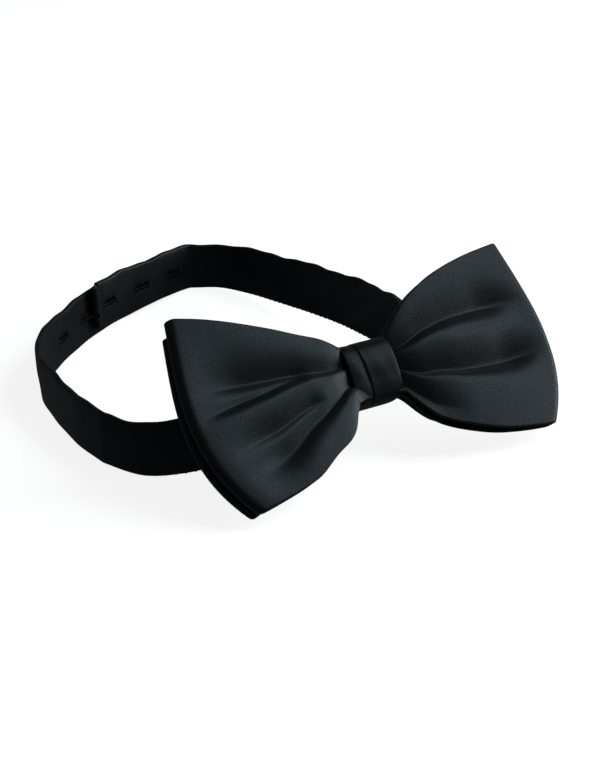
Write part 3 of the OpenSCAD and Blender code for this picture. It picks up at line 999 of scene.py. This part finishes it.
def sew(name, kind, stitches, length, height, seed, thread=None):
    """Stitches at (place in metres, x axis, y axis) in the row frame; sizes in metres."""
    places = np.array([p for p, _, _ in stitches])
    turns = []
    for _, x, y in stitches:
        x, y = Vector(x).normalized(), Vector(y)
        y = (y - x * x.dot(y)).normalized()
        columns = (x, y, x.cross(y))
        turns.append(Matrix([[c[k] for c in columns] for k in range(3)]).to_euler())
    guide = mesh_object(name, places, [])
    turn = guide.data.attributes.new("turn", "FLOAT_VECTOR", "POINT")
    turn.data.foreach_set("vector", np.array([tuple(t) for t in turns], np.float32).ravel())
    sizes = bpy.context.scene.tie_stitch
    values = {"Length": length, "Height": height, "Thread": thread or sizes.thread,
              "Unevenness": UNEVENNESS, "Seed": seed, "Finish": material_of("sewing_thread")}
    tree = bpy.data.node_groups.get(f"{kind}_stitches") or stitch_tree(kind)
    worked = guide.modifiers.new("stitches", "NODES")
    worked.node_group = tree
    for socket in tree.interface.items_tree:
        if socket.item_type == "SOCKET" and socket.in_out == "INPUT" and socket.name in values:
            worked[socket.identifier] = values[socket.name]
    bake_modifiers(guide)
    guide.data.polygons.foreach_set("use_smooth", [True] * len(guide.data.polygons))
    return dress(guide, "sewing_thread")


def slit_stitches(route, slits):
    """Overcast stitches all round each slit of a strap."""
    band = bpy.context.scene.tie_band
    spacing = bpy.context.scene.tie_stitch.slit_spacing / MM
    half, gap = band.slit_length / MM / 2, band.slit_gap / MM / 2
    bite = SLIT_BITE
    found = []
    for place in slits:
        centre = route.at_knot(place)
        edge = []
        for d in np.arange(-half + 0.1, half, spacing):
            edge += [((d, gap + bite - 0.18), (0, 1)), ((-d, -gap - bite + 0.18), (0, -1))]
        for angle in np.radians(np.arange(-75, 76, 25)):
            c, s = math.cos(angle), math.sin(angle)
            edge += [((half - 0.25 + bite * c, (gap + bite * 0.5) * s), (c, s)),
                     ((-half + 0.25 - bite * c, (gap + bite * 0.5) * s), (-c, s))]
        for (along_by, up_by), (away_along, away_up) in edge:
            foot, outward, rise, along = route.frame(np.array([centre + along_by]))
            at = foot[0] + (band.width / MM / 2 + up_by) * rise[0]
            found.append((ROUTE_CORNER + at * MM,
                          away_along * along[0] + away_up * rise[0], outward[0]))
    return found


class OBJECT_OT_tie_stitches(bpy.types.Operator):
    """Sews the slits, the straps' seams, the wrap's seam and the hook's loop"""

    bl_idname = "object.tie_stitches"
    bl_label = "Stitching"

    def execute(self, context):
        band, sizes = context.scene.tie_band, context.scene.tie_stitch
        routes = band_routes()
        thickness = band.thickness / MM
        for side, slits, body, node in (
                ("left", LEFT_SLITS, "slotted_end", "slotted_end_slit_stitching"),
                ("right", RIGHT_SLITS, "hook_end", "hook_end_slit_stitching")):
            overcast = sew(f"{body}_slit_stitches", "ring",
                           slit_stitches(routes[side], slits), 1.24 * MM,
                           (thickness + 0.42) * MM, 3)
            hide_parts(node)
            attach(overcast, body)
            seam = []
            route = routes[side]
            for d in np.arange(SEAM_START, route.length - SEAM_END, sizes.seam_spacing / MM):
                foot, outward, rise, along = route.frame(np.array([d]))
                at = ROUTE_CORNER + (foot[0] - 0.02 * rise[0]) * MM
                seam.append((at, along[0], -outward[0] * route.side))
            slip = sew(f"{side}_strap_seam_stitches", "bar", seam, 1.3 * MM, 0.08 * MM, 5,
                       thread=SEAM_THREAD * MM)
            bend_strap(slip)

        rear = []
        for height in np.arange(-6.2, 6.3, 1.55):
            at = on_bow(0.0, KNOT_REAR - 0.05, height)
            rear.append((at, ACROSS + 0.8 * BOW_UP, BOW_UP))
        closing = sew("knot_closing_slip_stitches", "bar", rear, 1.6 * MM, 0.12 * MM, 7)
        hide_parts("knot_closing_stitches")
        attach(closing, "knot")

        stitches = []
        origin, along, inward, rise = hook_frame()
        for face in (-1, 1):
            for height in np.arange(-6.3, 6.4, 1.4):
                at = origin + (-2.2 * along + face * 1.28 * inward + height * rise) * MM
                stitches.append((at, along + 0.35 * rise, rise))
        loop = sew("hook_loop_whip_stitches", "bar", stitches, 1.5 * MM, 0.1 * MM, 11)
        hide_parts("hook_loop_stitches")
        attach(loop, "hook_end")
        return {"FINISHED"}


# ---- hook ----

# The loop's cloth thickness and the notch the hook's shank comes out of, in mm.
LOOP_CLOTH = 0.45
NOTCH_HEIGHT, NOTCH_HALF = -2.9, 0.85
# The hook's worn edges, in mm and degrees.
WORN_EDGE, WORN_ANGLE = 0.12, 40


def hook_frame():
    """End of the hook's strap at mid height: place in metres, then along, inward and up."""
    route = band_routes()["right"]
    foot, outward, rise, along = route.frame(np.array([route.length]))
    middle = foot[0] + bpy.context.scene.tie_band.width / MM / 2 * rise[0]
    return ROUTE_CORNER + middle * MM, along[0], -outward[0], rise[0]


class OBJECT_OT_tie_hook(bpy.types.Operator):
    """Folds the strap's end round the hook and finishes the metal"""

    bl_idname = "object.tie_hook"
    bl_label = "Hook and Loop"

    def execute(self, context):
        origin, along, inward, rise = hook_frame()
        turn = np.radians(np.linspace(118, -118, 25))
        skin = [(-3.1, 1.04), (-1.8, 1.1), (-0.4, 1.35)]
        skin += [(1.55 + 1.3 * math.cos(t), 0.5 + 1.3 * math.sin(t)) for t in turn]
        skin += [(-0.3, -1.02), (-1.0, -1.12), (-3.1, -1.12)]
        heights = np.linspace(-7.25, 7.25, 35)

        def keep(i, j):
            middle = (heights[i] + heights[i + 1]) / 2
            x = (skin[j][0] + skin[j + 1][0]) / 2
            y = (skin[j][1] + skin[j + 1][1]) / 2
            return abs(middle - NOTCH_HEIGHT) > NOTCH_HALF or x < 0.4 or (x < 1.5 and y > 0.5)

        points = [origin + (x * along + y * inward + h * rise) * MM
                  for h in heights for x, y in skin]
        uvs = [(h * MM, j * 0.6 * MM) for h in heights for j in range(len(skin))]
        faces = grid_faces(len(heights), len(skin), keep=keep)
        loop = mesh_object("satin_hook_loop", points, faces, uvs)
        face_outwards(loop, origin + 1.0 * along * MM + 0.3 * inward * MM)
        give_thickness(loop, LOOP_CLOTH * MM)
        dress(loop, "band_satin")
        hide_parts("hook_loop")
        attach(loop, "hook_end")

        metal = frame["nodes"]["t_hook"]
        dress(metal, "nickel_plating")
        edges = metal.modifiers.new("worn_edges", "BEVEL")
        edges.width = WORN_EDGE * MM
        edges.segments = 2
        edges.limit_method = "ANGLE"
        edges.angle_limit = math.radians(WORN_ANGLE)
        edges.harden_normals = False
        return {"FINISHED"}


# ---- stage ----

# Directions towards the lights from the waist, the sides of their panels and their colours.
LIGHT_DISTANCE = 1.1
KEY_DIRECTION, KEY_PANEL, KEY_COLOUR = (0.54, -0.36, 0.80), (0.55, 0.45), (0.93, 0.97, 1.0)
SIDE_DIRECTION, SIDE_PANEL, SIDE_COLOUR = (0.95, -0.22, 0.22), (0.5, 0.5), (0.94, 0.97, 1.0)
SURROUND_STRENGTH = 0.07
# The camera's place from a point above the route corner, in mm, and the way it looks back.
CAMERA_BASE = (0, 0, 5.0)
CAMERA_PLACE = (-263.57, -353.75, 231.26)
CAMERA_BACK = (-0.486, -0.766, 0.4206)


class OBJECT_OT_tie_stage(bpy.types.Operator):
    """Sets a pale floor, soft light and the camera"""

    bl_idname = "object.tie_stage"
    bl_label = "Stage"

    def execute(self, context):
        settings = context.scene.tie_stage
        half = settings.floor_size / 2
        corners = [(-half, -half, 0), (half, -half, 0), (half, half, 0), (-half, half, 0)]
        floor = mesh_object("studio_floor", corners, [(0, 1, 2, 3)])
        floor.data.materials.append(material_of("studio_floor"))
        floor.visible_glossy = False
        floor.visible_diffuse = False

        def area_light(name, direction, size, energy, colour):
            data = bpy.data.lights.new(name, "AREA")
            data.shape = "RECTANGLE"
            data.size, data.size_y = size
            data.energy = energy
            data.color = colour
            lamp = bpy.data.objects.new(name, data)
            aim = Vector(direction).normalized()
            lamp.location = Vector(WAIST) + aim * LIGHT_DISTANCE
            lamp.rotation_mode = "QUATERNION"
            lamp.rotation_quaternion = aim.to_track_quat("Z", "Y")
            context.scene.collection.objects.link(lamp)

        area_light("key_softbox", KEY_DIRECTION, KEY_PANEL, settings.key_energy, KEY_COLOUR)
        area_light("side_softbox", SIDE_DIRECTION, SIDE_PANEL, settings.fill_energy, SIDE_COLOUR)
        self.world(context)
        self.camera(context, settings)
        return {"FINISHED"}

    def world(self, context):
        world = bpy.data.worlds.new("studio_surround")
        context.scene.world = world
        world.use_nodes = True
        tree = world.node_tree
        background = tree.nodes["Background"]
        path = tree.nodes.new("ShaderNodeLightPath")
        mix = tree.nodes.new("ShaderNodeMix")
        mix.data_type = "FLOAT"
        mix.inputs["A"].default_value = SURROUND_STRENGTH
        mix.inputs["B"].default_value = 1.0
        link(tree, path, "Is Camera Ray", mix, "Factor")
        link(tree, mix, "Result", background, "Strength")
        background.inputs["Color"].default_value = (1, 1, 1, 1)

    def camera(self, context, settings):
        data = bpy.data.cameras.new("studio_camera")
        data.lens = settings.lens
        data.sensor_width = 36
        data.sensor_fit = "AUTO"
        data.clip_start, data.clip_end = 0.02, 50
        camera = bpy.data.objects.new("studio_camera", data)
        corner = ROUTE_CORNER / MM + np.array(CAMERA_BASE)
        place = corner + np.array(CAMERA_PLACE)
        camera.location = place * MM
        toward = Vector(CAMERA_BACK).normalized()
        camera.rotation_mode = "QUATERNION"
        camera.rotation_quaternion = toward.to_track_quat("Z", "Y")
        context.scene.collection.objects.link(camera)
        context.scene.camera = camera
        context.scene.view_settings.view_transform = "Standard"


OPERATORS = (
    OBJECT_OT_tie_stage,
    OBJECT_OT_tie_wings,
    OBJECT_OT_tie_interlining,
    OBJECT_OT_tie_knot,
    OBJECT_OT_tie_straps,
    OBJECT_OT_tie_hook,
    OBJECT_OT_tie_stitches,
)
PROPERTIES = {
    "tie_bow": BowSizes,
    "tie_band": BandSizes,
    "tie_stitch": StitchSizes,
    "tie_finish": FinishColours,
    "tie_stage": StageSettings,
}


class VIEW3D_PT_bow_tie(bpy.types.Panel):
    """Sizes, colours and pieces of the bow tie"""

    bl_idname = "VIEW3D_PT_bow_tie"
    bl_label = "Satin Bow Tie"
    bl_space_type = "VIEW_3D"
    bl_region_type = "UI"
    bl_category = "Bow Tie"

    def draw(self, context):
        layout = self.layout
        for group, kind in PROPERTIES.items():
            box = layout.box()
            for field in kind.__annotations__:
                box.prop(getattr(context.scene, group), field)
        for operator in OPERATORS:
            layout.operator(operator.bl_idname)


CLASSES = (*PROPERTIES.values(), *OPERATORS, VIEW3D_PT_bow_tie)


def register():
    for kind in CLASSES:
        bpy.utils.register_class(kind)
    for group, kind in PROPERTIES.items():
        setattr(bpy.types.Scene, group, PointerProperty(type=kind))


def unregister():
    for group in PROPERTIES:
        delattr(bpy.types.Scene, group)
    for kind in reversed(CLASSES):
        bpy.utils.unregister_class(kind)


def main():
    register()
    for operator in OPERATORS:
        group, name = operator.bl_idname.split(".")
        getattr(getattr(bpy.ops, group), name)()
    for name, node in frame["nodes"].items():
        if not node.hide_render and not node.data.materials[0].name.startswith("sewing"):
            dress(node, "sewing_thread" if "stitch" in name else "band_satin")


if __name__ == "__main__":
    main()
